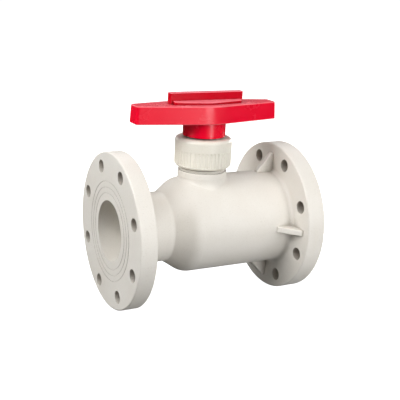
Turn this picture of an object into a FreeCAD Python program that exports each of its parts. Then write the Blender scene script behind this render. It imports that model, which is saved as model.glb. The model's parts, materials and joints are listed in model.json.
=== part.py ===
import FreeCAD, Part
import math
import os

# Flanged plastic ball valve, nominal size 100, with a quarter-turn handle that lies along the pipe when open.
# Frame: origin at the centre of the inlet flange's face, +X along the flow, +Z up the stem. Millimetres.

# ---- pipe ends: nominal size 100, PN 10 drilling ----
FACE_TO_FACE = 280.0
FLANGE_R = 108.5
BOLT_CIRCLE_R = 90.0
BOLT_HOLE_R = 9.0
BOLT_COUNT = 8
INLET_FLANGE_T = 24.0
OUTLET_FLANGE_T = 27.0
FLANGE_EDGE = 2.0
PORT_R = 42.5
INLET_GROOVE_RADII = (52.0, 60.0, 68.0)
OUTLET_GROOVE_RADII = (65.0, 70.0, 75.0)
SEAL_GROOVE_W = 1.2
SEAL_GROOVE_DEPTH = 0.5

# ---- body shell ----
STEM_X = 138.0
NECK_R = 49.0
SHOULDER_START_X = 76.0
SHOULDER_END_X = 103.0
SHOULDER_START_ROUND = 4.0
SHOULDER_END_ROUND = 26.0
FLANGE_ROOT_ROUND = 5.0
BARREL_R = 67.5
CHAMBER_R = 60.5
CHAMBER_START = 28.0
GUSSET_COUNT = 4
GUSSET_T = 8.0
GUSSET_LENGTH = 26.0
GUSSET_FOOT_R = 70.0
GUSSET_TIP_R = 95.0
GUSSET_TIP_W = 3.0
GUSSET_ROUND = 2.0
GUSSET_EDGE_ROUND = 1.2

# ---- ball and seats ----
BALL_R = 58.5
BALL_BORE_R = 39.0
SEAT_GAP = 0.05
SEAT_POCKET_R = 48.2
SEAT_POCKET_MOUTH = 43.0
SEAT_BACK = 52.0
SEAT_FRONT = 39.0
SEAT_REBATE_R = 44.6
SEAT_REBATE = 3.6
BACKING_SECTION_R = 1.65
SLOT_W = 16.1
SLOT_FLOOR_Z = 47.0

# ---- boss round the stem, threaded for the gland nut ----
BOSS_FOOT_R = 39.2
BOSS_FOOT_Z = 54.7
BOSS_R = 33.8
BOSS_ROOT_FILLET = 4.0
BOSS_SWEEP_Z = 58.6
BOSS_SWEEP_R = 12.0
RING_R = 34.5
RING_BOTTOM_Z = 69.8
RING_TOP_Z = 78.2
RING_CHAMFER = 1.0
BOSS_TOP_Z = 117.5
BOSS_THREAD_R = 33.4
THREAD_PITCH = 3.0
THREAD_DEPTH = 1.3
THREAD_START_Z = 80.0

# ---- stem and gland ----
STEM_R = 15.0
STEM_BORE_R = 15.06
COLLAR_R = 22.0
COLLAR_BOTTOM_Z = 60.5
COLLAR_TOP_Z = 68.0
COLLAR_POCKET_R = 22.4
COLLAR_POCKET_Z = 69.6
TANG_W = 16.0
TANG_HALF_LENGTH = 20.0
TANG_BOTTOM_Z = 47.4
PACKING_R = 21.45
PACKING_CHAMBER_R = 21.5
PACKING_FLOOR_Z = 90.0
PACKING_RING_H = 4.6
PACKING_RING_COUNT = 3
PACKING_CREST = 1.2
SEALS_Z = {"stem_o_ring_lower": 75.5, "stem_o_ring_upper": 83.5}
SEAL_SECTION_R = 1.3
SEAL_GROOVE_HALF = 1.8
BUSH_FLANGE_R = 32.6
BUSH_FLANGE_Z = 117.55
BUSH_SLEEVE_R = 24.9
BUSH_SLEEVE_Z = 119.5
BUSH_TOP_Z = 125.1
STOP_TOP_Z = 134.4
STOP_CLEAR_DEG = 1.0
STOP_LUG_DEG = 30.0
TRAVEL_DEG = 90.0
BUSH_KEY_W = 6.0
BUSH_KEY_DEPTH = 4.0
BUSH_KEY_INNER_R = 26.6
BUSH_KEY_GAP = 0.3

# ---- gland nut ----
NUT_R = 39.9
NUT_BOTTOM_Z = 84.0
NUT_TOP_Z = 125.0
NUT_BORE_R = 33.5
NUT_HOLE_R = 25.4
NUT_CAP_Z = 120.55
NUT_TOP_ROUND = 5.0
NUT_RIM_CHAMFER = 3.0
FLUTE_COUNT = 46
FLUTE_R = 2.3
FLUTE_DEPTH = 1.1
FLUTE_BOTTOM_Z = 88.5
FLUTE_TOP_Z = 106.5

# ---- handle ----
HUB_R = 29.8
HUB_BOTTOM_Z = 127.2
HANDLE_BOTTOM_Z = 147.6
HANDLE_TOP_Z = 172.2
HANDLE_HALF_LENGTH = 107.2
HANDLE_END_HALF_W = 11.5
HANDLE_MID_HALF_W = 34.0
HANDLE_MID_ROUND = 75.0
HANDLE_CORNER = 4.5
HANDLE_DRAFT = 1.4
HANDLE_WALL = 4.0
HANDLE_DECK_Z = 166.2
HANDLE_TOP_ROUND = 1.6
HANDLE_BOTTOM_ROUND = 1.2
RECESS_Z = 170.2
SOCKET_BOTTOM_Z = 135.0
LUG_INNER_R = 18.0
SQUARE_AF = 21.0
SQUARE_GAP = 0.15
SQUARE_TOP_Z = 156.1
WEB_BOTTOM_Z = 156.3
WEB_TOP_Z = 160.5
COUNTERBORE_R = 13.0
HANDLE_RIB_T = 3.0
HANDLE_RIB_PLACES = (52.0, 80.0)

# ---- seat-carrier key clipped into the handle ----
KEY_HALF_LENGTH = 52.0
KEY_END_HALF_W = 12.0
KEY_MID_HALF_W = 19.5
KEY_MID_ROUND = 75.0
KEY_CORNER = 4.0
KEY_BOTTOM_Z = 170.25
KEY_CROWN_Z = 177.0
KEY_CROWN_R = 83.0
KEY_EDGE_ROUND = 0.7
KEY_GAP = 0.5
FIN_HALF_LENGTH = 56.0
FIN_T = 10.0
FIN_SLOT_Z = 171.5
FIN_BOTTOM_Z = 172.0
FIN_TOP_Z = 187.8
FIN_EDGE_ROUND = 1.2
CLIP_X = 40.0
CLIP_Y = 8.0
CLIP_L = 8.0
CLIP_T = 4.0
CLIP_BOTTOM_Z = 163.0

# ---- handle screw, M8 ----
SCREW_R = 4.0
SCREW_HEAD_AF = 13.0
SCREW_HEAD_H = 5.3
SCREW_BOTTOM_Z = 136.5
WASHER_R = 12.0
WASHER_T = 2.0
INSERT_R = 6.5
INSERT_BOTTOM_Z = 131.5

# ---- seat carrier, screwed in from the outlet ----
CARRIER_R = 60.3
CARRIER_INNER_X = STEM_X + SEAT_POCKET_MOUTH
CARRIER_OUTER_X = FACE_TO_FACE - 1.0
CARRIER_SEAL_X = STEM_X + 50.5
CARRIER_SEAL_R = 1.75
CARRIER_CORE_IN_R = 48.5
CARRIER_CORE_OUT_R = 54.5
CARRIER_CORE_X = STEM_X + 64.0
CARRIER_RIB_COUNT = 8
CARRIER_RIB_T = 5.0
KEY_SLOT_W = 10.6
KEY_SLOT_DEPTH = 10.0
KEY_SLOT_HALF_LENGTH = 56.6

Vec = FreeCAD.Vector
X_AXIS = Vec(1, 0, 0)
Y_AXIS = Vec(0, 1, 0)
Z_AXIS = Vec(0, 0, 1)
STEM_AXIS_POINT = Vec(STEM_X, 0, 0)
FULL_TURN = 360.0

# How far a fused shape is sunk into its neighbour, or a cutter stands proud of a surface.
SINK = 3.0


# ---- shape helpers ----

def corner_arc(before, corner, after, radius):
    """Start, middle and end of the arc that rounds one corner of an outline."""
    to_before = (before - corner).normalize()
    to_after = (after - corner).normalize()
    half_angle = to_before.getAngle(to_after) / 2
    bisector = (to_before + to_after).normalize()
    reach = radius / math.tan(half_angle)
    centre = corner + bisector * (radius / math.sin(half_angle))
    return corner + to_before * reach, centre - bisector * radius, corner + to_after * reach


def rounded_wire(corners, place):
    """Closed wire through corners (a, b) or (a, b, rounding radius), each placed in space by place(a, b)."""
    points = [place(corner[0], corner[1]) for corner in corners]
    radii = [corner[2] if len(corner) > 2 else 0.0 for corner in corners]
    path = []
    for i, point in enumerate(points):
        if radii[i] > 0:
            path.append(corner_arc(points[i - 1], point, points[(i + 1) % len(points)], radii[i]))
        else:
            path.append((point, None, point))
    edges = []
    for i, (start, middle, end) in enumerate(path):
        previous_end = path[i - 1][2]
        if previous_end.distanceToPoint(start) > 1e-6:
            edges.append(Part.makeLine(previous_end, start))
        if middle is not None:
            edges.append(Part.Arc(start, middle, end).toShape())
    return Part.Wire(edges)


def spin_x(corners):
    """Solid of revolution about the pipe axis, from an outline of (x, radius) corners."""
    face = Part.Face(rounded_wire(corners, lambda x, r: Vec(x, 0, r)))
    return face.revolve(Vec(0, 0, 0), X_AXIS, FULL_TURN)


def spin_z(corners):
    """Solid of revolution about the stem axis, from an outline of (radius, z) corners."""
    face = Part.Face(rounded_wire(corners, lambda r, z: Vec(STEM_X + r, 0, z)))
    return face.revolve(STEM_AXIS_POINT, Z_AXIS, FULL_TURN)


def rod_x(x0, x1, radius, y=0.0, z=0.0):
    return Part.makeCylinder(radius, x1 - x0, Vec(x0, y, z), X_AXIS)


def rod_z(z0, z1, radius, x=STEM_X, y=0.0):
    return Part.makeCylinder(radius, z1 - z0, Vec(x, y, z0), Z_AXIS)


def tube_z(z0, z1, inner, outer):
    return rod_z(z0, z1, outer).cut(rod_z(z0, z1, inner))


def block(x0, x1, y0, y1, z0, z1):
    return Part.makeBox(x1 - x0, y1 - y0, z1 - z0, Vec(x0, y0, z0))


def around_x(shape, angle):
    turned = shape.copy()
    turned.rotate(Vec(0, 0, 0), X_AXIS, angle)
    return turned


def around_stem(shape, angle):
    turned = shape.copy()
    turned.rotate(STEM_AXIS_POINT, Z_AXIS, angle)
    return turned


def mirrored_about_stem(shape):
    """The same piece on the other side of the ball, along the pipe."""
    return shape.mirror(STEM_AXIS_POINT, X_AXIS)


def sector_z(z0, z1, inner, outer, middle_deg, width_deg):
    """Part of a tube about the stem, width_deg wide and centred on middle_deg."""
    wedge = Part.makeCylinder(outer, z1 - z0, Vec(STEM_X, 0, z0), Z_AXIS, width_deg)
    wedge = around_stem(wedge, middle_deg - width_deg / 2)
    return wedge.cut(rod_z(z0, z1, inner))


def filleted(shape, radius, wanted):
    """Round the edges for which wanted(edge) holds."""
    return shape.makeFillet(radius, [edge for edge in shape.Edges if wanted(edge)])


def bar_outline(half_length, end_half_w, mid_half_w, mid_round, corner, z):
    """Long six-sided plan: narrow rounded ends, and a softly rounded bulge at the middle of each side."""
    corners = []
    for side in (-1, 1):
        corners.append((-side * half_length, side * end_half_w, corner))
        corners.append((0.0, side * mid_half_w, mid_round))
        corners.append((side * half_length, side * end_half_w, corner))
    return rounded_wire(corners, lambda u, v: Vec(STEM_X + u, v, z))


def handle_outline(z, inset=0.0):
    """The handle's plan at a height: the sides lean in by HANDLE_DRAFT towards the top."""
    lean = HANDLE_DRAFT * (HANDLE_TOP_Z - z) / (HANDLE_TOP_Z - HANDLE_BOTTOM_Z) - inset
    corner = max(HANDLE_CORNER - inset, 1.0)
    return bar_outline(HANDLE_HALF_LENGTH + lean, HANDLE_END_HALF_W + lean / 2,
                       HANDLE_MID_HALF_W + lean, HANDLE_MID_ROUND, corner, z)


def key_outline(z, grow=0.0):
    return bar_outline(KEY_HALF_LENGTH + grow, KEY_END_HALF_W + grow,
                       KEY_MID_HALF_W + grow, KEY_MID_ROUND, KEY_CORNER, z)


def prism(wire, height):
    return Part.Face(wire).extrude(Vec(0, 0, height))


# ---- body ----

def body_outside():
    shell = spin_x([
        (0, 0),
        (0, FLANGE_R, FLANGE_EDGE),
        (INLET_FLANGE_T, FLANGE_R, FLANGE_EDGE),
        (INLET_FLANGE_T, NECK_R, FLANGE_ROOT_ROUND),
        (SHOULDER_START_X, NECK_R, SHOULDER_START_ROUND),
        (SHOULDER_END_X, BARREL_R, SHOULDER_END_ROUND),
        (FACE_TO_FACE - OUTLET_FLANGE_T, BARREL_R, FLANGE_ROOT_ROUND),
        (FACE_TO_FACE - OUTLET_FLANGE_T, FLANGE_R, FLANGE_EDGE),
        (FACE_TO_FACE, FLANGE_R, FLANGE_EDGE),
        (FACE_TO_FACE, 0),
    ])
    shell = shell.fuse(rod_z(0, BOSS_TOP_Z, BOSS_R))

    def at_boss_root(edge):
        middle = edge.valueAt((edge.FirstParameter + edge.LastParameter) / 2)
        from_stem = math.hypot(middle.x - STEM_X, middle.y)
        from_pipe = math.hypot(middle.y, middle.z)
        return middle.z > 0 and abs(from_stem - BOSS_R) < 0.5 and abs(from_pipe - BARREL_R) < 1.0

    shell = filleted(shell, BOSS_ROOT_FILLET, at_boss_root)
    neck_space = tube_z(RING_TOP_Z, BOSS_TOP_Z, BOSS_THREAD_R - THREAD_DEPTH, BOSS_R + 1)
    return shell.cut(neck_space).fuse(boss_top())


def thread_corners(radius, start_z, end_z):
    """Outline corners of ridged thread crests from start_z up to end_z."""
    corners = [(radius - THREAD_DEPTH, start_z)]
    for i in range(int((end_z - start_z) / THREAD_PITCH)):
        z = start_z + i * THREAD_PITCH
        corners.append((radius, z + 0.35 * THREAD_PITCH))
        corners.append((radius, z + 0.65 * THREAD_PITCH))
        corners.append((radius - THREAD_DEPTH, z + THREAD_PITCH))
    return corners


def boss_top():
    """Sweep of the boss into the barrel, the raised ring at its shoulder and the threaded neck above."""
    root_r = BOSS_THREAD_R - THREAD_DEPTH
    return spin_z([
        (0, BOSS_FOOT_Z),
        (BOSS_FOOT_R, BOSS_FOOT_Z),
        (BOSS_R, BOSS_SWEEP_Z, BOSS_SWEEP_R),
        (BOSS_R, RING_BOTTOM_Z),
        (RING_R, RING_BOTTOM_Z),
        (RING_R, RING_TOP_Z - RING_CHAMFER),
        (RING_R - RING_CHAMFER, RING_TOP_Z),
        (root_r, RING_TOP_Z),
    ] + thread_corners(BOSS_THREAD_R, THREAD_START_Z, BOSS_TOP_Z) + [
        (root_r, BOSS_TOP_Z),
        (0, BOSS_TOP_Z),
    ])


def gusset():
    """Triangular web between the barrel and the outlet flange's back, in the XZ plane above the barrel."""
    back = FACE_TO_FACE - OUTLET_FLANGE_T
    outline = [
        (back - GUSSET_LENGTH, BARREL_R - SINK),
        (back - GUSSET_LENGTH, GUSSET_FOOT_R, GUSSET_ROUND),
        (back - GUSSET_TIP_W, GUSSET_TIP_R, GUSSET_ROUND),
        (back + SINK, GUSSET_TIP_R),
        (back + SINK, BARREL_R - SINK),
    ]
    wire = rounded_wire(outline, lambda x, r: Vec(x, -GUSSET_T / 2, r))
    web = Part.Face(wire).extrude(Vec(0, GUSSET_T, 0))

    def on_outer_rim(edge):
        middle = edge.valueAt((edge.FirstParameter + edge.LastParameter) / 2)
        on_side = abs(abs(middle.y) - GUSSET_T / 2) < 0.01
        return on_side and middle.z > BARREL_R - SINK / 2 and middle.x < back + SINK - 0.1

    return filleted(web, GUSSET_EDGE_ROUND, on_outer_rim)


def body_inside():
    """Everything hollow in the body: passage, seat pocket, ball chamber and the stem's stepped bore."""
    passage = spin_x([
        (-1, 0),
        (-1, PORT_R),
        (STEM_X - SEAT_BACK, PORT_R),
        (STEM_X - SEAT_BACK, SEAT_POCKET_R),
        (STEM_X - SEAT_POCKET_MOUTH, SEAT_POCKET_R),
        (STEM_X - CHAMBER_START, CHAMBER_R),
        (FACE_TO_FACE + 1, CHAMBER_R),
        (FACE_TO_FACE + 1, 0),
    ])
    stem_bore = spin_z([
        (0, 0),
        (COLLAR_POCKET_R, 0),
        (COLLAR_POCKET_R, COLLAR_POCKET_Z),
        (STEM_BORE_R, COLLAR_POCKET_Z),
        (STEM_BORE_R, PACKING_FLOOR_Z),
        (PACKING_CHAMBER_R, PACKING_FLOOR_Z),
        (PACKING_CHAMBER_R, BOSS_TOP_Z + 1),
        (0, BOSS_TOP_Z + 1),
    ])
    return passage.fuse(stem_bore)


def bolt_holes():
    """Eight holes straddling the vertical centreline, through both flanges."""
    holes = []
    for i in range(BOLT_COUNT):
        angle = math.radians((i + 0.5) * FULL_TURN / BOLT_COUNT)
        y = BOLT_CIRCLE_R * math.sin(angle)
        z = BOLT_CIRCLE_R * math.cos(angle)
        holes.append(rod_x(-1, INLET_FLANGE_T + 1, BOLT_HOLE_R, y, z))
        holes.append(rod_x(FACE_TO_FACE - OUTLET_FLANGE_T - 1, FACE_TO_FACE + 1, BOLT_HOLE_R, y, z))
    return holes


def seal_grooves():
    """Shallow concentric grooves that grip the gasket, on both flange faces."""
    grooves = []
    for face_x, radii in ((0.0, INLET_GROOVE_RADII), (FACE_TO_FACE, OUTLET_GROOVE_RADII)):
        for radius in radii:
            ring = rod_x(face_x - SEAL_GROOVE_DEPTH, face_x + SEAL_GROOVE_DEPTH, radius + SEAL_GROOVE_W)
            grooves.append(ring.cut(rod_x(face_x - 1, face_x + 1, radius)))
    return grooves


def bush_key_blocks(outer_r, clear):
    """The two tabs of the gland bush, or with some clearance the notches they drop into."""
    half = BUSH_KEY_W / 2 + clear
    bottom_z = BOSS_TOP_Z - BUSH_KEY_DEPTH - clear
    bar = block(STEM_X - outer_r, STEM_X + outer_r, -half, half, bottom_z, BUSH_FLANGE_Z)
    return bar.cut(rod_z(bottom_z - 1, BUSH_FLANGE_Z + 1, BUSH_KEY_INNER_R - clear))


def valve_body():
    body = body_outside()
    for i in range(GUSSET_COUNT):
        body = body.fuse(around_x(gusset(), i * FULL_TURN / GUSSET_COUNT))
    body = body.cut(body_inside())
    for cutter in bolt_holes() + seal_grooves():
        body = body.cut(cutter)
    body = body.cut(bush_key_blocks(BOSS_THREAD_R + 1, BUSH_KEY_GAP))
    return body.removeSplitter()


# ---- ball and seats ----

def ball():
    sphere = Part.makeSphere(BALL_R, STEM_AXIS_POINT)
    sphere = sphere.cut(rod_x(STEM_X - BALL_R - 1, STEM_X + BALL_R + 1, BALL_BORE_R))
    half = SLOT_W / 2
    slot = block(STEM_X - half, STEM_X + half, -BALL_R, BALL_R, SLOT_FLOOR_Z, BALL_R + 1)
    return sphere.cut(slot)


def seat_inlet():
    back = STEM_X - SEAT_BACK + SEAT_GAP
    ring = spin_x([
        (back, BALL_BORE_R),
        (back, SEAT_REBATE_R),
        (back + SEAT_REBATE, SEAT_REBATE_R),
        (back + SEAT_REBATE, SEAT_POCKET_R - SEAT_GAP),
        (STEM_X - SEAT_FRONT, SEAT_POCKET_R - SEAT_GAP, 1.0),
        (STEM_X - SEAT_FRONT, BALL_BORE_R),
    ])
    return ring.cut(Part.makeSphere(BALL_R + SEAT_GAP, STEM_AXIS_POINT))


def seat_backing_ring_inlet():
    middle_r = SEAT_REBATE_R + 0.1 + BACKING_SECTION_R
    middle_x = STEM_X - SEAT_BACK + 0.1 + BACKING_SECTION_R
    return Part.makeTorus(middle_r, BACKING_SECTION_R, Vec(middle_x, 0, 0), X_AXIS)


def seat_carrier():
    """Threaded insert that holds the outlet seat: an inner and an outer tube joined by ribs and a web."""
    seal_in = CARRIER_R - 2 * CARRIER_SEAL_R + 0.1
    seal_half = CARRIER_SEAL_R + 0.6
    carrier = spin_x([
        (CARRIER_INNER_X, SEAT_POCKET_R),
        (CARRIER_INNER_X, CARRIER_R, 1.5),
        (CARRIER_SEAL_X - seal_half, CARRIER_R),
        (CARRIER_SEAL_X - seal_half, seal_in),
        (CARRIER_SEAL_X + seal_half, seal_in),
        (CARRIER_SEAL_X + seal_half, CARRIER_R),
        (CARRIER_OUTER_X, CARRIER_R, 1.0),
        (CARRIER_OUTER_X, PORT_R, 1.0),
        (STEM_X + SEAT_BACK, PORT_R),
        (STEM_X + SEAT_BACK, SEAT_POCKET_R),
    ])
    core = rod_x(CARRIER_CORE_X, CARRIER_OUTER_X + 1, CARRIER_CORE_OUT_R)
    core = core.cut(rod_x(CARRIER_CORE_X - 1, CARRIER_OUTER_X + 2, CARRIER_CORE_IN_R))
    half = CARRIER_RIB_T / 2
    for i in range(CARRIER_RIB_COUNT // 2):
        rib = block(CARRIER_CORE_X - 1, CARRIER_OUTER_X - 2, -half, half, -CARRIER_R, CARRIER_R)
        core = core.cut(around_x(rib, (i + 0.5) * FULL_TURN / CARRIER_RIB_COUNT))
    carrier = carrier.cut(core)
    slot = block(CARRIER_OUTER_X - KEY_SLOT_DEPTH, CARRIER_OUTER_X + 1,
                 -KEY_SLOT_HALF_LENGTH, KEY_SLOT_HALF_LENGTH, -KEY_SLOT_W / 2, KEY_SLOT_W / 2)
    return carrier.cut(slot)


def carrier_o_ring():
    middle_r = CARRIER_R + 0.15 - CARRIER_SEAL_R
    return Part.makeTorus(middle_r, CARRIER_SEAL_R, Vec(CARRIER_SEAL_X, 0, 0), X_AXIS)


# ---- stem and gland ----

def stem():
    corners = [(0, COLLAR_BOTTOM_Z), (COLLAR_R, COLLAR_BOTTOM_Z, 1.0)]
    corners += [(COLLAR_R, COLLAR_TOP_Z), (STEM_R, COLLAR_TOP_Z)]
    groove_r = STEM_R - 2 * SEAL_SECTION_R
    for z in SEALS_Z.values():
        corners += [(STEM_R, z - SEAL_GROOVE_HALF), (groove_r, z - SEAL_GROOVE_HALF)]
        corners += [(groove_r, z + SEAL_GROOVE_HALF), (STEM_R, z + SEAL_GROOVE_HALF)]
    corners += [(STEM_R, SOCKET_BOTTOM_Z), (0, SOCKET_BOTTOM_Z)]
    shaft = spin_z(corners)
    half_w = TANG_W / 2
    tang = block(STEM_X - half_w, STEM_X + half_w, -TANG_HALF_LENGTH, TANG_HALF_LENGTH,
                 TANG_BOTTOM_Z, COLLAR_BOTTOM_Z + 1)
    half_af = SQUARE_AF / 2
    square = block(STEM_X - half_af, STEM_X + half_af, -half_af, half_af, SOCKET_BOTTOM_Z - 1, SQUARE_TOP_Z)
    square = square.common(rod_z(SOCKET_BOTTOM_Z - 1, SQUARE_TOP_Z, STEM_R - 0.8))
    pocket = rod_z(INSERT_BOTTOM_Z - 0.1, SQUARE_TOP_Z + 1, INSERT_R + 0.05)
    return shaft.fuse(tang).fuse(square).cut(pocket)


def stem_o_ring(z):
    return Part.makeTorus(STEM_R + 0.04 - SEAL_SECTION_R, SEAL_SECTION_R, Vec(STEM_X, 0, z), Z_AXIS)


def stem_insert():
    """Threaded metal insert moulded into the stem's square, which takes the handle screw."""
    return tube_z(INSERT_BOTTOM_Z, SQUARE_TOP_Z - 0.2, SCREW_R + 0.05, INSERT_R)


def thrust_washer():
    return tube_z(COLLAR_TOP_Z + 0.05, COLLAR_POCKET_Z - 0.05, STEM_BORE_R, COLLAR_R - 0.2)


def packing_piece(bottom_z, top_z, crest_below, crest_above):
    """One ring of the stem's packing: flat, or raised in a ridge at the middle of its width."""
    middle_r = (STEM_BORE_R + PACKING_R) / 2
    return spin_z([
        (STEM_BORE_R, bottom_z),
        (middle_r, bottom_z + crest_below),
        (PACKING_R, bottom_z),
        (PACKING_R, top_z),
        (middle_r, top_z + crest_above),
        (STEM_BORE_R, top_z),
    ])


def packing_level(count):
    """Height of the packing stack's top after its base ring and count rings."""
    return PACKING_FLOOR_Z + 3.0 + count * PACKING_RING_H


def packing_base_ring():
    return packing_piece(PACKING_FLOOR_Z + 0.02, packing_level(0), 0.0, PACKING_CREST)


def packing_rings():
    rings = []
    for i in range(PACKING_RING_COUNT):
        bottom_z = packing_level(i) + 0.03
        rings.append(packing_piece(bottom_z, packing_level(i + 1), PACKING_CREST, PACKING_CREST))
    return Part.Compound(rings)


def bush_spigot_z():
    return packing_level(PACKING_RING_COUNT) + 3.5


def packing_follower():
    return packing_piece(packing_level(PACKING_RING_COUNT) + 0.03, bush_spigot_z() - 0.03, PACKING_CREST, 0.0)


def stop_sector_width():
    return 180.0 - TRAVEL_DEG - STOP_LUG_DEG - 2 * STOP_CLEAR_DEG


def gland_bush():
    """Keyed to the boss: presses on the packing, guides the stem and carries the quarter-turn stops."""
    bush = spin_z([
        (STEM_BORE_R, bush_spigot_z()),
        (PACKING_R - 0.05, bush_spigot_z()),
        (PACKING_R - 0.05, BUSH_FLANGE_Z),
        (BUSH_FLANGE_R, BUSH_FLANGE_Z),
        (BUSH_FLANGE_R, BUSH_SLEEVE_Z),
        (BUSH_SLEEVE_R, BUSH_SLEEVE_Z),
        (BUSH_SLEEVE_R, BUSH_TOP_Z),
        (STEM_BORE_R, BUSH_TOP_Z),
    ])
    bush = bush.fuse(bush_key_blocks(BUSH_FLANGE_R, 0.0))
    for side in (0, 180):
        middle = 90 + TRAVEL_DEG / 2 + side
        stop = sector_z(BUSH_TOP_Z - 1, STOP_TOP_Z, STEM_BORE_R, BUSH_SLEEVE_R, middle, stop_sector_width())
        bush = bush.fuse(stop)
    return bush.removeSplitter()


def slip_washer():
    return tube_z(BUSH_SLEEVE_Z + 0.05, NUT_CAP_Z - 0.05, BUSH_SLEEVE_R + 0.3, BUSH_FLANGE_R - 0.2)


def gland_nut():
    nut = spin_z([
        (NUT_BORE_R, NUT_BOTTOM_Z),
        (NUT_R - NUT_RIM_CHAMFER, NUT_BOTTOM_Z, 0.6),
        (NUT_R, NUT_BOTTOM_Z + NUT_RIM_CHAMFER, 1.5),
        (NUT_R, NUT_TOP_Z, NUT_TOP_ROUND),
        (NUT_HOLE_R, NUT_TOP_Z, 0.8),
        (NUT_HOLE_R, NUT_CAP_Z),
        (NUT_BORE_R, NUT_CAP_Z),
    ])
    offset = NUT_R + FLUTE_R - FLUTE_DEPTH
    flute = rod_z(FLUTE_BOTTOM_Z, FLUTE_TOP_Z, FLUTE_R, STEM_X + offset)
    for z in (FLUTE_BOTTOM_Z, FLUTE_TOP_Z):
        flute = flute.fuse(Part.makeSphere(FLUTE_R, Vec(STEM_X + offset, 0, z)))
    flutes = [around_stem(flute, i * FULL_TURN / FLUTE_COUNT) for i in range(FLUTE_COUNT)]
    return nut.cut(Part.Compound(flutes))


# ---- handle ----

def handle_bar():
    """Hollow bar, open below, with cross ribs and one long rib under its deck."""
    bar = Part.makeLoft([handle_outline(HANDLE_BOTTOM_Z), handle_outline(HANDLE_TOP_Z)], True, True)
    bar = filleted(bar, HANDLE_TOP_ROUND, lambda edge: edge.BoundBox.ZMin > HANDLE_TOP_Z - 0.01)
    bar = filleted(bar, HANDLE_BOTTOM_ROUND, lambda edge: edge.BoundBox.ZMax < HANDLE_BOTTOM_Z + 0.01)
    mouth = handle_outline(HANDLE_BOTTOM_Z - 1, HANDLE_WALL)
    hollow = Part.makeLoft([mouth, handle_outline(HANDLE_DECK_Z, HANDLE_WALL)], True, True)
    half = HANDLE_RIB_T / 2
    reach = HANDLE_HALF_LENGTH
    ribs = [block(STEM_X - reach, STEM_X + reach, -half, half, HANDLE_BOTTOM_Z + 4, HANDLE_DECK_Z + 1)]
    for place in HANDLE_RIB_PLACES:
        for side in (-1, 1):
            x = STEM_X + side * place
            ribs.append(block(x - half, x + half, -HANDLE_MID_HALF_W, HANDLE_MID_HALF_W,
                              HANDLE_BOTTOM_Z + 2, HANDLE_DECK_Z + 1))
    for rib in ribs:
        hollow = hollow.cut(rib)
    return bar.cut(hollow)


def clip_block(side_x, side_y, grow):
    """One of the key's four clips, or with some clearance the slot for it."""
    half_l = CLIP_L / 2 + grow
    half_t = CLIP_T / 2 + grow
    x = STEM_X + side_x * CLIP_X
    y = side_y * CLIP_Y
    return block(x - half_l, x + half_l, y - half_t, y + half_t, CLIP_BOTTOM_Z - grow, KEY_BOTTOM_Z + 1)


def clip_places():
    return [(side_x, side_y) for side_x in (-1, 1) for side_y in (-1, 1)]


def handle():
    grip = handle_bar().fuse(rod_z(HUB_BOTTOM_Z, HANDLE_DECK_Z + 1, HUB_R))
    grip = grip.cut(rod_z(HUB_BOTTOM_Z - 1, SOCKET_BOTTOM_Z, NUT_HOLE_R))
    lug_bottom_z = HUB_BOTTOM_Z + 0.2
    for middle in (90, 270):
        lug = sector_z(lug_bottom_z, SOCKET_BOTTOM_Z + 1, LUG_INNER_R, NUT_HOLE_R + 1, middle, STOP_LUG_DEG)
        grip = grip.fuse(lug)
    half = SQUARE_AF / 2 + SQUARE_GAP
    grip = grip.cut(block(STEM_X - half, STEM_X + half, -half, half, SOCKET_BOTTOM_Z - 1, WEB_BOTTOM_Z))
    grip = grip.cut(rod_z(WEB_BOTTOM_Z - 1, WEB_TOP_Z + 1, SCREW_R + 0.5))
    grip = grip.cut(rod_z(WEB_TOP_Z, HANDLE_TOP_Z + 1, COUNTERBORE_R))
    grip = grip.cut(prism(key_outline(RECESS_Z, KEY_GAP), HANDLE_TOP_Z + 1 - RECESS_Z))
    fin_half = FIN_HALF_LENGTH + KEY_GAP
    fin_t = FIN_T / 2 + KEY_GAP
    grip = grip.cut(block(STEM_X - fin_half, STEM_X + fin_half, -fin_t, fin_t, FIN_SLOT_Z, HANDLE_TOP_Z + 1))
    for side_x, side_y in clip_places():
        grip = grip.cut(clip_block(side_x, side_y, 0.3))
    return grip.removeSplitter()


def handle_key():
    """Crowned plate with an upright fin: lifted off, the fin fits the slot across the seat carrier."""
    crown = Part.makeCylinder(KEY_CROWN_R, 2 * KEY_HALF_LENGTH + 2,
                              Vec(STEM_X - KEY_HALF_LENGTH - 1, 0, KEY_CROWN_Z - KEY_CROWN_R), X_AXIS)
    plate = prism(key_outline(KEY_BOTTOM_Z), KEY_CROWN_Z + 2 - KEY_BOTTOM_Z).common(crown)
    plate = filleted(plate, KEY_EDGE_ROUND, lambda edge: edge.BoundBox.ZMin > KEY_BOTTOM_Z + 1)
    half_t = FIN_T / 2
    fin = block(STEM_X - FIN_HALF_LENGTH, STEM_X + FIN_HALF_LENGTH, -half_t, half_t, FIN_BOTTOM_Z, FIN_TOP_Z)
    fin = filleted(fin, FIN_EDGE_ROUND, lambda edge: edge.BoundBox.ZMax > FIN_BOTTOM_Z + 1)
    key = plate.fuse(fin)
    for side_x, side_y in clip_places():
        key = key.fuse(clip_block(side_x, side_y, 0.0))
    return key.removeSplitter()


def handle_washer():
    return tube_z(WEB_TOP_Z + 0.02, WEB_TOP_Z + WASHER_T, SCREW_R + 0.4, WASHER_R)


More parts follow.
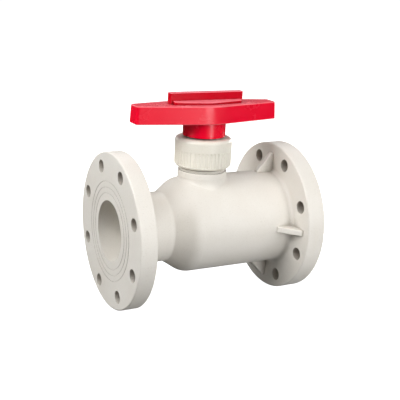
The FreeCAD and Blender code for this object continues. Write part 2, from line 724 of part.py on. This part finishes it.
def handle_screw():
    head_z = WEB_TOP_Z + WASHER_T + 0.02
    top_z = head_z + SCREW_HEAD_H
    corner_r = SCREW_HEAD_AF / math.sqrt(3)
    angles = [math.radians(60 * i) for i in range(7)]
    outline = [Vec(STEM_X + corner_r * math.cos(a), corner_r * math.sin(a), head_z) for a in angles]
    crown = spin_z([(0, head_z), (corner_r, head_z), (corner_r, top_z - 1),
                    (SCREW_HEAD_AF / 2 - 0.5, top_z), (0, top_z)])
    head = prism(Part.makePolygon(outline), SCREW_HEAD_H).common(crown)
    return head.fuse(rod_z(SCREW_BOTTOM_Z, head_z + 1, SCREW_R))


PIECES = {
    "valve_body": valve_body,
    "ball": ball,
    "seat_inlet": seat_inlet,
    "seat_outlet": lambda: mirrored_about_stem(seat_inlet()),
    "seat_backing_ring_inlet": seat_backing_ring_inlet,
    "seat_backing_ring_outlet": lambda: mirrored_about_stem(seat_backing_ring_inlet()),
    "seat_carrier": seat_carrier,
    "carrier_o_ring": carrier_o_ring,
    "stem": stem,
    "stem_insert": stem_insert,
    "stem_o_ring_lower": lambda: stem_o_ring(SEALS_Z["stem_o_ring_lower"]),
    "stem_o_ring_upper": lambda: stem_o_ring(SEALS_Z["stem_o_ring_upper"]),
    "thrust_washer": thrust_washer,
    "packing_base_ring": packing_base_ring,
    "packing_rings": packing_rings,
    "packing_follower": packing_follower,
    "gland_bush": gland_bush,
    "slip_washer": slip_washer,
    "gland_nut": gland_nut,
    "handle": handle,
    "handle_key": handle_key,
    "handle_screw": handle_screw,
    "handle_washer": handle_washer,
}

os.makedirs("parts", exist_ok=True)
for name, build in PIECES.items():
    shape = build()
    state = "valid" if shape.isValid() else "INVALID"
    print(name, state, len(shape.Solids), "solid(s)", round(shape.Volume), "mm3")
    shape.exportStep("parts/" + name + ".step")
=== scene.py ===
"""Looks of the flanged plastic ball valve: finishes for every piece, a pale studio and the camera."""
import json
import math

import bpy
from mathutils import Matrix, Vector


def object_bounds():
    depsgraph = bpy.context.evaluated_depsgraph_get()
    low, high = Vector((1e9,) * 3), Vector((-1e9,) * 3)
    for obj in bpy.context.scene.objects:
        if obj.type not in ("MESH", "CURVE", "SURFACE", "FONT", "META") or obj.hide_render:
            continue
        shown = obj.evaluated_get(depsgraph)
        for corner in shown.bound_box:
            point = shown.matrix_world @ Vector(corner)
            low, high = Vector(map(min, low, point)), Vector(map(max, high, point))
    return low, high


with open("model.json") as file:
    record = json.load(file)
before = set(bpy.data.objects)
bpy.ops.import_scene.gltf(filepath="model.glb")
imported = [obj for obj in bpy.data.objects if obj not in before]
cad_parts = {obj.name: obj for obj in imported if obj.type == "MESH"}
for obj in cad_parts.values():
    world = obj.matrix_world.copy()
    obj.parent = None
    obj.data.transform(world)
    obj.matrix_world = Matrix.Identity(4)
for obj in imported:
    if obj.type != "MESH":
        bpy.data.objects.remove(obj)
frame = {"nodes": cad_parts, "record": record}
cad_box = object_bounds()
nodes = frame["nodes"]

MM = 0.001
STEM_X = 138 * MM
WHITE = (1.0, 1.0, 1.0, 1.0)


def rgb(red, green, blue):
    """A linear colour from 0-255 display values, by the sRGB curve."""
    def linear(v):
        v /= 255
        return v / 12.92 if v <= 0.04045 else ((v + 0.055) / 1.055) ** 2.4
    return (linear(red), linear(green), linear(blue), 1.0)


# ---- camera, from the place of the bolt holes and the flange outlines ----
CAMERA_AT = Vector((-0.39962, -1.00149, 0.36034))
CAMERA_AZIMUTH = -28.2
CAMERA_ELEVATION = 16.1
CAMERA_ROLL = 3.02
FOCAL_IN_PIXELS = 830.2
IMAGE_PIXELS = 400
SENSOR_MM = 36.0
NEAREST_SEEN = 0.05
FARTHEST_SEEN = 100.0

# ---- studio ----
SKY_STRENGTH = 0.04
GROUND_STRENGTH = 0.03
HORIZON_BLUR = 0.15
FLOOR_SIZE = 16.0
BACKDROP_HEIGHT = 8.0
FLOOR_COLOUR = rgb(176, 176, 176)
FLOOR_GLOW = 1.05
FLOOR_ROUGHNESS = 0.9
FLOOR_SPECULAR = 0.1
FLOOR_MOTTLE = 0.97
LIGHTS_AIM_AT = Vector((STEM_X, 0.0, 30 * MM))

# name, azimuth and elevation it shines from, distance and size in metres, power in watts
LIGHTS = (
    ("front_softbox", 10, 14, 2.0, 0.9, 8.2),
    ("front_high_softbox", 20, 42, 2.0, 1.2, 9.0),
    ("right_softbox", 40, 14, 2.0, 0.9, 5.2),
    ("side_softbox", 115, 14, 2.0, 0.9, 25.0),
    ("rear_high_softbox", 155, 42, 2.0, 1.2, 7.5),
    ("back_softbox", -170, 14, 2.0, 0.9, 5.0),
    ("left_rear_softbox", -110, 30, 2.0, 0.9, 10.5),
    ("left_softbox", -80, 30, 2.0, 0.9, 9.0),
    ("left_high_softbox", -80, 50, 2.0, 0.9, 9.0),
    ("left_front_softbox", -50, 50, 2.0, 0.9, 7.0),
    ("top_softbox", 0, 88, 2.0, 1.2, 3.0),
    ("left_card", -80, 22, 1.3, 0.3, 3.0),
    ("handle_card", 13, -2, 1.0, 0.25, 1.9),
    ("bounce_right", 60, -35, 2.0, 1.2, 9.0),
    ("bounce_left", -110, -35, 2.0, 1.2, 3.5),
    ("bounce_front", 0, -14, 2.0, 0.9, 2.2),
)

# ---- noise scales, in cells per metre ----
COLOUR_DRIFT = 14.0
TURNED_DRIFT = 22.0
SMUDGES = 38.0
SHEEN_PATCHES = 55.0
FLOOR_PAPER = 60.0
STEEL_STAINS = 90.0
RUBBER_BLOOM = 120.0
MOULD_WAVES = 260.0
LATHE_RINGS = 420.0
STEEL_MARKS = 700.0
SPECKS = 900.0
RUBBER_GRAIN = 1400.0
SPARK_GRAIN = 1900.0

# ---- the part of a noise's range that spreads over a whole change ----
WIDE_SPREAD = (0.3, 0.7)
DRIFT_SPREAD = (0.35, 0.65)
SPECK_SPREAD = (0.60, 0.72)
BLOOM_SPREAD = (0.45, 0.75)
STAIN_SPREAD = (0.5, 0.75)

# ---- surface relief and edges ----
MOULDED_EDGE = 0.45 * MM
TURNED_EDGE = 0.3 * MM
STEEL_EDGE = 0.2 * MM
MOULD_WAVE_DEPTH = 0.06 * MM
LATHE_DEPTH = 0.03 * MM
RUBBER_DEPTH = 0.04 * MM
STEEL_MARK_DEPTH = 0.02 * MM
EDGE_SAMPLES = 4
ALONG_X = (1.0, 0.12, 0.12)
ROUND_STEM = (0.15, 0.15, 3.0)

# ---- where painted shade and painted highlights lie ----
OPENNESS_SAMPLES = 8
CREASE_REACH = 6 * MM
CREASE_OPENNESS = (0.15, 0.75)
HOLE_REACH = 34 * MM
HOLE_OPENNESS = (0.10, 0.62)
UP_SPREAD = (0.35, 0.9)
LEAVING_UPRIGHT = (0.02, 0.15)
NEARING_LEVEL = (0.75, 0.97)
# how far the painted highlight on the red parts spreads from the stem, and how patchy it is
SHEEN_FULL_R = 48 * MM
WING_R = 80 * MM
WING_SHEEN = 0.5
PATCHY_SHEEN = 0.75

# ---- shine ----
MOULDED_IOR = 1.49
TURNED_IOR = 1.45
SMUDGE_SWING = (-0.05, 0.07)
LATHE_SWING = (-0.05, 0.08)
RUBBER_ROUGHNESS = (0.5, 0.72)
STEEL_ROUGHNESS = (0.2, 0.42)
STAIN_STRENGTH = 0.6


# ---- node helpers ----

class Nodes:
    """A material's node tree, with short calls for the nodes used below."""

    def __init__(self, name):
        self.material = bpy.data.materials.new(name)
        self.material.use_nodes = True
        self.tree = self.material.node_tree
        self.shader = self.tree.nodes["Principled BSDF"]
        self.place = self.add("ShaderNodeTexCoord").outputs["Object"]

    def add(self, kind, **settings):
        node = self.tree.nodes.new(kind)
        for key, value in settings.items():
            setattr(node, key, value)
        return node

    def feed(self, socket, value):
        """Link an output to the socket, or set the socket to a fixed value."""
        if isinstance(value, bpy.types.NodeSocket):
            self.tree.links.new(value, socket)
        else:
            socket.default_value = value

    def noise(self, scale, detail=3.0, roughness=0.55, stretch=(1, 1, 1)):
        mapping = self.add("ShaderNodeMapping")
        self.feed(mapping.inputs["Vector"], self.place)
        mapping.inputs["Scale"].default_value = stretch
        node = self.add("ShaderNodeTexNoise")
        self.feed(node.inputs["Vector"], mapping.outputs["Vector"])
        node.inputs["Scale"].default_value = scale
        node.inputs["Detail"].default_value = detail
        node.inputs["Roughness"].default_value = roughness
        return node.outputs["Fac"]

    def remap(self, value, spread, to_low, to_high):
        """Stretch the spread (low, high) of a value over to_low to to_high, and clamp the rest."""
        node = self.add("ShaderNodeMapRange")
        self.feed(node.inputs["Value"], value)
        node.inputs["From Min"].default_value = spread[0]
        node.inputs["From Max"].default_value = spread[1]
        node.inputs["To Min"].default_value = to_low
        node.inputs["To Max"].default_value = to_high
        return node.outputs["Result"]

    def mix(self, factor, a, b, blend="MIX"):
        node = self.add("ShaderNodeMix", data_type="RGBA", blend_type=blend)
        self.feed(node.inputs["Factor"], factor)
        self.feed(node.inputs["A"], a)
        self.feed(node.inputs["B"], b)
        return node.outputs["Result"]

    def product(self, a, b):
        node = self.add("ShaderNodeMath", operation="MULTIPLY")
        self.feed(node.inputs[0], a)
        self.feed(node.inputs[1], b)
        return node.outputs[0]

    def bump(self, height, depth, normal=None):
        node = self.add("ShaderNodeBump")
        self.feed(node.inputs["Height"], height)
        node.inputs["Distance"].default_value = depth
        node.inputs["Strength"].default_value = 1.0
        if normal is not None:
            self.feed(node.inputs["Normal"], normal)
        return node.outputs["Normal"]

    def soft_edges(self, radius):
        node = self.add("ShaderNodeBevel", samples=EDGE_SAMPLES)
        node.inputs["Radius"].default_value = radius
        return node.outputs["Normal"]

    def lean(self):
        """The upward part of the surface's direction: 1 looking up, 0 upright, -1 looking down."""
        split = self.add("ShaderNodeSeparateXYZ")
        self.feed(split.inputs["Vector"], self.add("ShaderNodeNewGeometry").outputs["Normal"])
        return split.outputs["Z"]

    def facing_up(self):
        """1 on faces that look straight up, falling to 0 on upright ones."""
        return self.remap(self.lean(), UP_SPREAD, 0.0, 1.0)

    def rounded_rims(self):
        """1 on the rounded edges between upright and level faces, 0 on the faces themselves."""
        lean = self.lean()
        lean_squared = self.product(lean, lean)
        off_upright = self.remap(lean_squared, LEAVING_UPRIGHT, 0.0, 1.0)
        off_level = self.remap(lean_squared, NEARING_LEVEL, 1.0, 0.0)
        return self.product(off_upright, off_level)

    def near_stem(self):
        """1 round the stem's axis, falling towards the wings of the handle."""
        flat = self.add("ShaderNodeMapping")
        self.feed(flat.inputs["Vector"], self.place)
        flat.inputs["Location"].default_value = (-STEM_X, 0.0, 0.0)
        flat.inputs["Scale"].default_value = (1.0, 1.0, 0.0)
        length = self.add("ShaderNodeVectorMath", operation="LENGTH")
        self.feed(length.inputs[0], flat.outputs["Vector"])
        return self.remap(length.outputs["Value"], (SHEEN_FULL_R, WING_R), 1.0, WING_SHEEN)

    def openness(self, distance):
        """1 in the open, falling towards 0 deep in holes, grooves and corners."""
        node = self.add("ShaderNodeAmbientOcclusion", samples=OPENNESS_SAMPLES)
        node.inputs["Distance"].default_value = distance
        return node.outputs["AO"]


# ---- finishes ----

def moulded_plastic(name, colour, tint, shade, roughness, grain,
                    speck=0.3, specular=0.5, crease=0.5, depth=0.75, painted_sheen=None):
    """Injection-moulded plastic: spark-eroded grain of the given depth and a slow drift from colour to tint.

    shade colours the specks and, by the amount crease, the painted shade in the corners; depth is how far
    the painted shade darkens the holes.
    The colour given last, if any, is a painted highlight and reflection: a lighter colour laid on the faces
    that look up, strongest round the stem, and on the rims.
    """
    n = Nodes(name)
    drift = n.remap(n.noise(COLOUR_DRIFT, 4.0), DRIFT_SPREAD, 0.0, 1.0)
    specks = n.remap(n.noise(SPECKS, 2.0), SPECK_SPREAD, 0.0, speck)
    base = n.mix(drift, colour, tint)
    base = n.mix(specks, base, shade)
    # painted highlight and reflection: faces that look up, most near the stem, and the rounded rims are
    # lightened toward the colour given last
    if painted_sheen is not None:
        patchy = n.remap(n.noise(SHEEN_PATCHES, 4.0), WIDE_SPREAD, PATCHY_SHEEN, 1.0)
        stem_sheen = n.product(patchy, n.near_stem())
        base = n.mix(n.product(n.facing_up(), stem_sheen), base, painted_sheen)
        base = n.mix(n.product(n.rounded_rims(), patchy), base, painted_sheen)
    # painted shade: creases and corners are darkened toward the shade colour by ambient occlusion
    base = n.mix(n.remap(n.openness(CREASE_REACH), CREASE_OPENNESS, crease, 0.0), base, shade)
    # painted shade: deep holes, the bore and inner corners are multiplied darker by ambient occlusion
    painted_hole_shade = n.remap(n.openness(HOLE_REACH), HOLE_OPENNESS, depth, 0.0)
    n.feed(n.shader.inputs["Base Color"], n.mix(painted_hole_shade, base, HOLE_SHADE, "MULTIPLY"))
    least, most = (roughness + swing for swing in SMUDGE_SWING)
    n.feed(n.shader.inputs["Roughness"], n.remap(n.noise(SMUDGES, 5.0, 0.65), WIDE_SPREAD, least, most))
    normal = n.bump(n.noise(MOULD_WAVES, 3.0), MOULD_WAVE_DEPTH, n.soft_edges(MOULDED_EDGE))
    normal = n.bump(n.noise(SPARK_GRAIN, 2.0), grain, normal)
    n.feed(n.shader.inputs["Normal"], normal)
    n.shader.inputs["IOR"].default_value = MOULDED_IOR
    n.shader.inputs["Specular IOR Level"].default_value = specular
    return n.material


def turned_plastic(name, colour, tint, roughness):
    """Machined plastic: faint lathe rings and a waxy surface."""
    n = Nodes(name)
    rings = n.noise(LATHE_RINGS, 2.0, 0.5, ALONG_X)
    base = n.mix(n.remap(n.noise(TURNED_DRIFT, 4.0), DRIFT_SPREAD, 0.0, 1.0), colour, tint)
    n.feed(n.shader.inputs["Base Color"], base)
    least, most = (roughness + swing for swing in LATHE_SWING)
    n.feed(n.shader.inputs["Roughness"], n.remap(rings, WIDE_SPREAD, least, most))
    n.feed(n.shader.inputs["Normal"], n.bump(rings, LATHE_DEPTH, n.soft_edges(TURNED_EDGE)))
    n.shader.inputs["IOR"].default_value = TURNED_IOR
    return n.material


def seal_rubber(name):
    """Black moulded rubber with a dusty bloom."""
    n = Nodes(name)
    bloom = n.remap(n.noise(RUBBER_BLOOM, 5.0, 0.7), BLOOM_SPREAD, 0.0, 1.0)
    n.feed(n.shader.inputs["Base Color"], n.mix(bloom, RUBBER_BLACK, RUBBER_DUSTY))
    n.feed(n.shader.inputs["Roughness"], n.remap(bloom, (0.0, 1.0), *RUBBER_ROUGHNESS))
    n.feed(n.shader.inputs["Normal"], n.bump(n.noise(RUBBER_GRAIN, 3.0), RUBBER_DEPTH))
    return n.material


def machined_steel(name):
    """Stainless steel with turning marks about the vertical and a few darker stains."""
    n = Nodes(name)
    marks = n.noise(STEEL_MARKS, 3.0, 0.6, ROUND_STEM)
    stains = n.remap(n.noise(STEEL_STAINS, 5.0), STAIN_SPREAD, 0.0, STAIN_STRENGTH)
    n.feed(n.shader.inputs["Base Color"], n.mix(stains, STEEL_CLEAN, STEEL_STAINED))
    n.feed(n.shader.inputs["Roughness"], n.remap(marks, WIDE_SPREAD, *STEEL_ROUGHNESS))
    n.feed(n.shader.inputs["Normal"], n.bump(marks, STEEL_MARK_DEPTH, n.soft_edges(STEEL_EDGE)))
    n.shader.inputs["Metallic"].default_value = 1.0
    return n.material


# the cream and red shade colours darken the random specks and, as painted shade, the creases; HOLE_SHADE is
# painted shade for holes
CREAM_SHADE = rgb(176, 166, 148)
RED_SHADE = rgb(128, 2, 20)
HOLE_SHADE = rgb(118, 106, 92)
RUBBER_BLACK = rgb(26, 26, 27)
RUBBER_DUSTY = rgb(58, 57, 56)
STEEL_CLEAN = rgb(206, 205, 202)
STEEL_STAINED = rgb(168, 164, 158)

FINISHES = {
    "body_polypropylene": moulded_plastic(
        "body_polypropylene", rgb(231, 227, 219), rgb(227, 222, 213), CREAM_SHADE,
        roughness=0.42, grain=0.020 * MM, depth=0.95),
    "nut_polypropylene": moulded_plastic(
        "nut_polypropylene", rgb(232, 228, 216), rgb(228, 223, 210), CREAM_SHADE,
        roughness=0.40, grain=0.018 * MM, crease=0.15, depth=0.15),
    "carrier_polypropylene": moulded_plastic(
        "carrier_polypropylene", rgb(228, 223, 212), rgb(223, 218, 205), CREAM_SHADE,
        roughness=0.45, grain=0.022 * MM),
    "ball_polypropylene": turned_plastic(
        "ball_polypropylene", rgb(232, 228, 218), rgb(226, 221, 209), roughness=0.24),
    "stem_polypropylene": turned_plastic(
        "stem_polypropylene", rgb(222, 217, 205), rgb(216, 210, 197), roughness=0.36),
    # the lighter colour given last for the handle and the key is a painted highlight on their upward faces
    # and rims
    "handle_red": moulded_plastic(
        "handle_red", rgb(238, 4, 46), rgb(232, 3, 42), RED_SHADE,
        roughness=0.24, grain=0.012 * MM, speck=0.10, specular=0.34, painted_sheen=rgb(246, 112, 124)),
    # key_red is the handle's red made darker: painted shade for the fin's sides, which catch less light than
    # the handle's front
    "key_red": moulded_plastic(
        "key_red", rgb(200, 3, 34), rgb(193, 2, 30), RED_SHADE,
        roughness=0.24, grain=0.012 * MM, speck=0.10, specular=0.12, painted_sheen=rgb(248, 132, 144)),
    "ptfe": turned_plastic("ptfe", rgb(240, 240, 236), rgb(233, 233, 228), roughness=0.38),
    "seal_rubber": seal_rubber("seal_rubber"),
    "stainless_steel": machined_steel("stainless_steel"),
}

for part in frame["record"]["subparts"]:
    piece = nodes[part["node"]]
    piece.data.materials.clear()
    piece.data.materials.append(FINISHES[part["material_slot"]])


# ---- studio ----

def backward(azimuth, elevation):
    """Unit vector from the valve towards a viewer or light at these angles in degrees; 0 looks along +Y."""
    a = math.radians(azimuth)
    e = math.radians(elevation)
    return Vector((math.sin(a) * math.cos(e), -math.cos(a) * math.cos(e), math.sin(e)))


def add_floor():
    """A glowing white floor with walls, which only the camera sees, so that it leaves the light alone."""
    low = cad_box[0].z
    mesh = bpy.data.meshes.new("studio_floor")
    half = FLOOR_SIZE / 2
    plan = [(-half, -half), (half, -half), (half, half), (-half, half)]
    corners = [(x, y, z) for z in (low, BACKDROP_HEIGHT) for x, y in plan]
    sides = len(plan)
    walls = [(i, (i + 1) % sides, (i + 1) % sides + sides, i + sides) for i in range(sides)]
    mesh.from_pydata(corners, [], [tuple(range(sides))] + walls)
    floor = bpy.data.objects.new("studio_floor", mesh)
    bpy.context.scene.collection.objects.link(floor)
    n = Nodes("studio_floor")
    paper = n.remap(n.noise(FLOOR_PAPER, 4.0), WIDE_SPREAD, FLOOR_MOTTLE, 1.0)
    n.feed(n.shader.inputs["Base Color"], n.mix(1.0, FLOOR_COLOUR, paper, "MULTIPLY"))
    n.shader.inputs["Roughness"].default_value = FLOOR_ROUGHNESS
    n.shader.inputs["Specular IOR Level"].default_value = FLOOR_SPECULAR
    n.shader.inputs["Emission Color"].default_value = WHITE
    n.shader.inputs["Emission Strength"].default_value = FLOOR_GLOW
    n.material.cycles.emission_sampling = "NONE"
    mesh.materials.append(n.material)
    floor.visible_diffuse = False
    floor.visible_glossy = False
    floor.visible_shadow = False


def add_world():
    """Faint even light, a little stronger from above than from below."""
    world = bpy.data.worlds.new("studio_world")
    world.use_nodes = True
    tree = world.node_tree
    split = tree.nodes.new("ShaderNodeSeparateXYZ")
    tree.links.new(tree.nodes.new("ShaderNodeTexCoord").outputs["Generated"], split.inputs["Vector"])
    level = tree.nodes.new("ShaderNodeMapRange")
    tree.links.new(split.outputs["Z"], level.inputs["Value"])
    level.inputs["From Min"].default_value = -HORIZON_BLUR
    level.inputs["From Max"].default_value = HORIZON_BLUR
    level.inputs["To Min"].default_value = GROUND_STRENGTH
    level.inputs["To Max"].default_value = SKY_STRENGTH
    background = tree.nodes["Background"]
    background.inputs["Color"].default_value = WHITE
    tree.links.new(level.outputs["Result"], background.inputs["Strength"])
    bpy.context.scene.world = world


def add_light(name, azimuth, elevation, distance, size, power):
    """A square soft box aimed at the valve, placed by the direction it shines from."""
    back = backward(azimuth, elevation)
    data = bpy.data.lights.new(name, "AREA")
    data.shape = "SQUARE"
    data.size = size
    data.energy = power
    light = bpy.data.objects.new(name, data)
    light.location = LIGHTS_AIM_AT + back * distance
    light.rotation_mode = "QUATERNION"
    light.rotation_quaternion = back.to_track_quat("Z", "Y")
    light.visible_camera = False
    bpy.context.scene.collection.objects.link(light)


def add_camera():
    """The camera at its fitted place, rolled about its own line of sight."""
    back = backward(CAMERA_AZIMUTH, CAMERA_ELEVATION)
    a = math.radians(CAMERA_AZIMUTH)
    roll = math.radians(CAMERA_ROLL)
    level_right = Vector((math.cos(a), math.sin(a), 0.0))
    level_up = back.cross(level_right)
    right = level_right * math.cos(roll) + level_up * math.sin(roll)
    up = back.cross(right)
    data = bpy.data.cameras.new("camera")
    data.sensor_width = SENSOR_MM
    data.lens = FOCAL_IN_PIXELS * SENSOR_MM / IMAGE_PIXELS
    data.clip_start = NEAREST_SEEN
    data.clip_end = FARTHEST_SEEN
    camera = bpy.data.objects.new("camera", data)
    turn = Matrix((right, up, back)).transposed().to_4x4()
    camera.matrix_world = Matrix.Translation(CAMERA_AT) @ turn
    bpy.context.scene.collection.objects.link(camera)
    bpy.context.scene.camera = camera


add_floor()
add_world()
for light_settings in LIGHTS:
    add_light(*light_settings)
add_camera()
bpy.context.scene.view_settings.view_transform = "Standard"
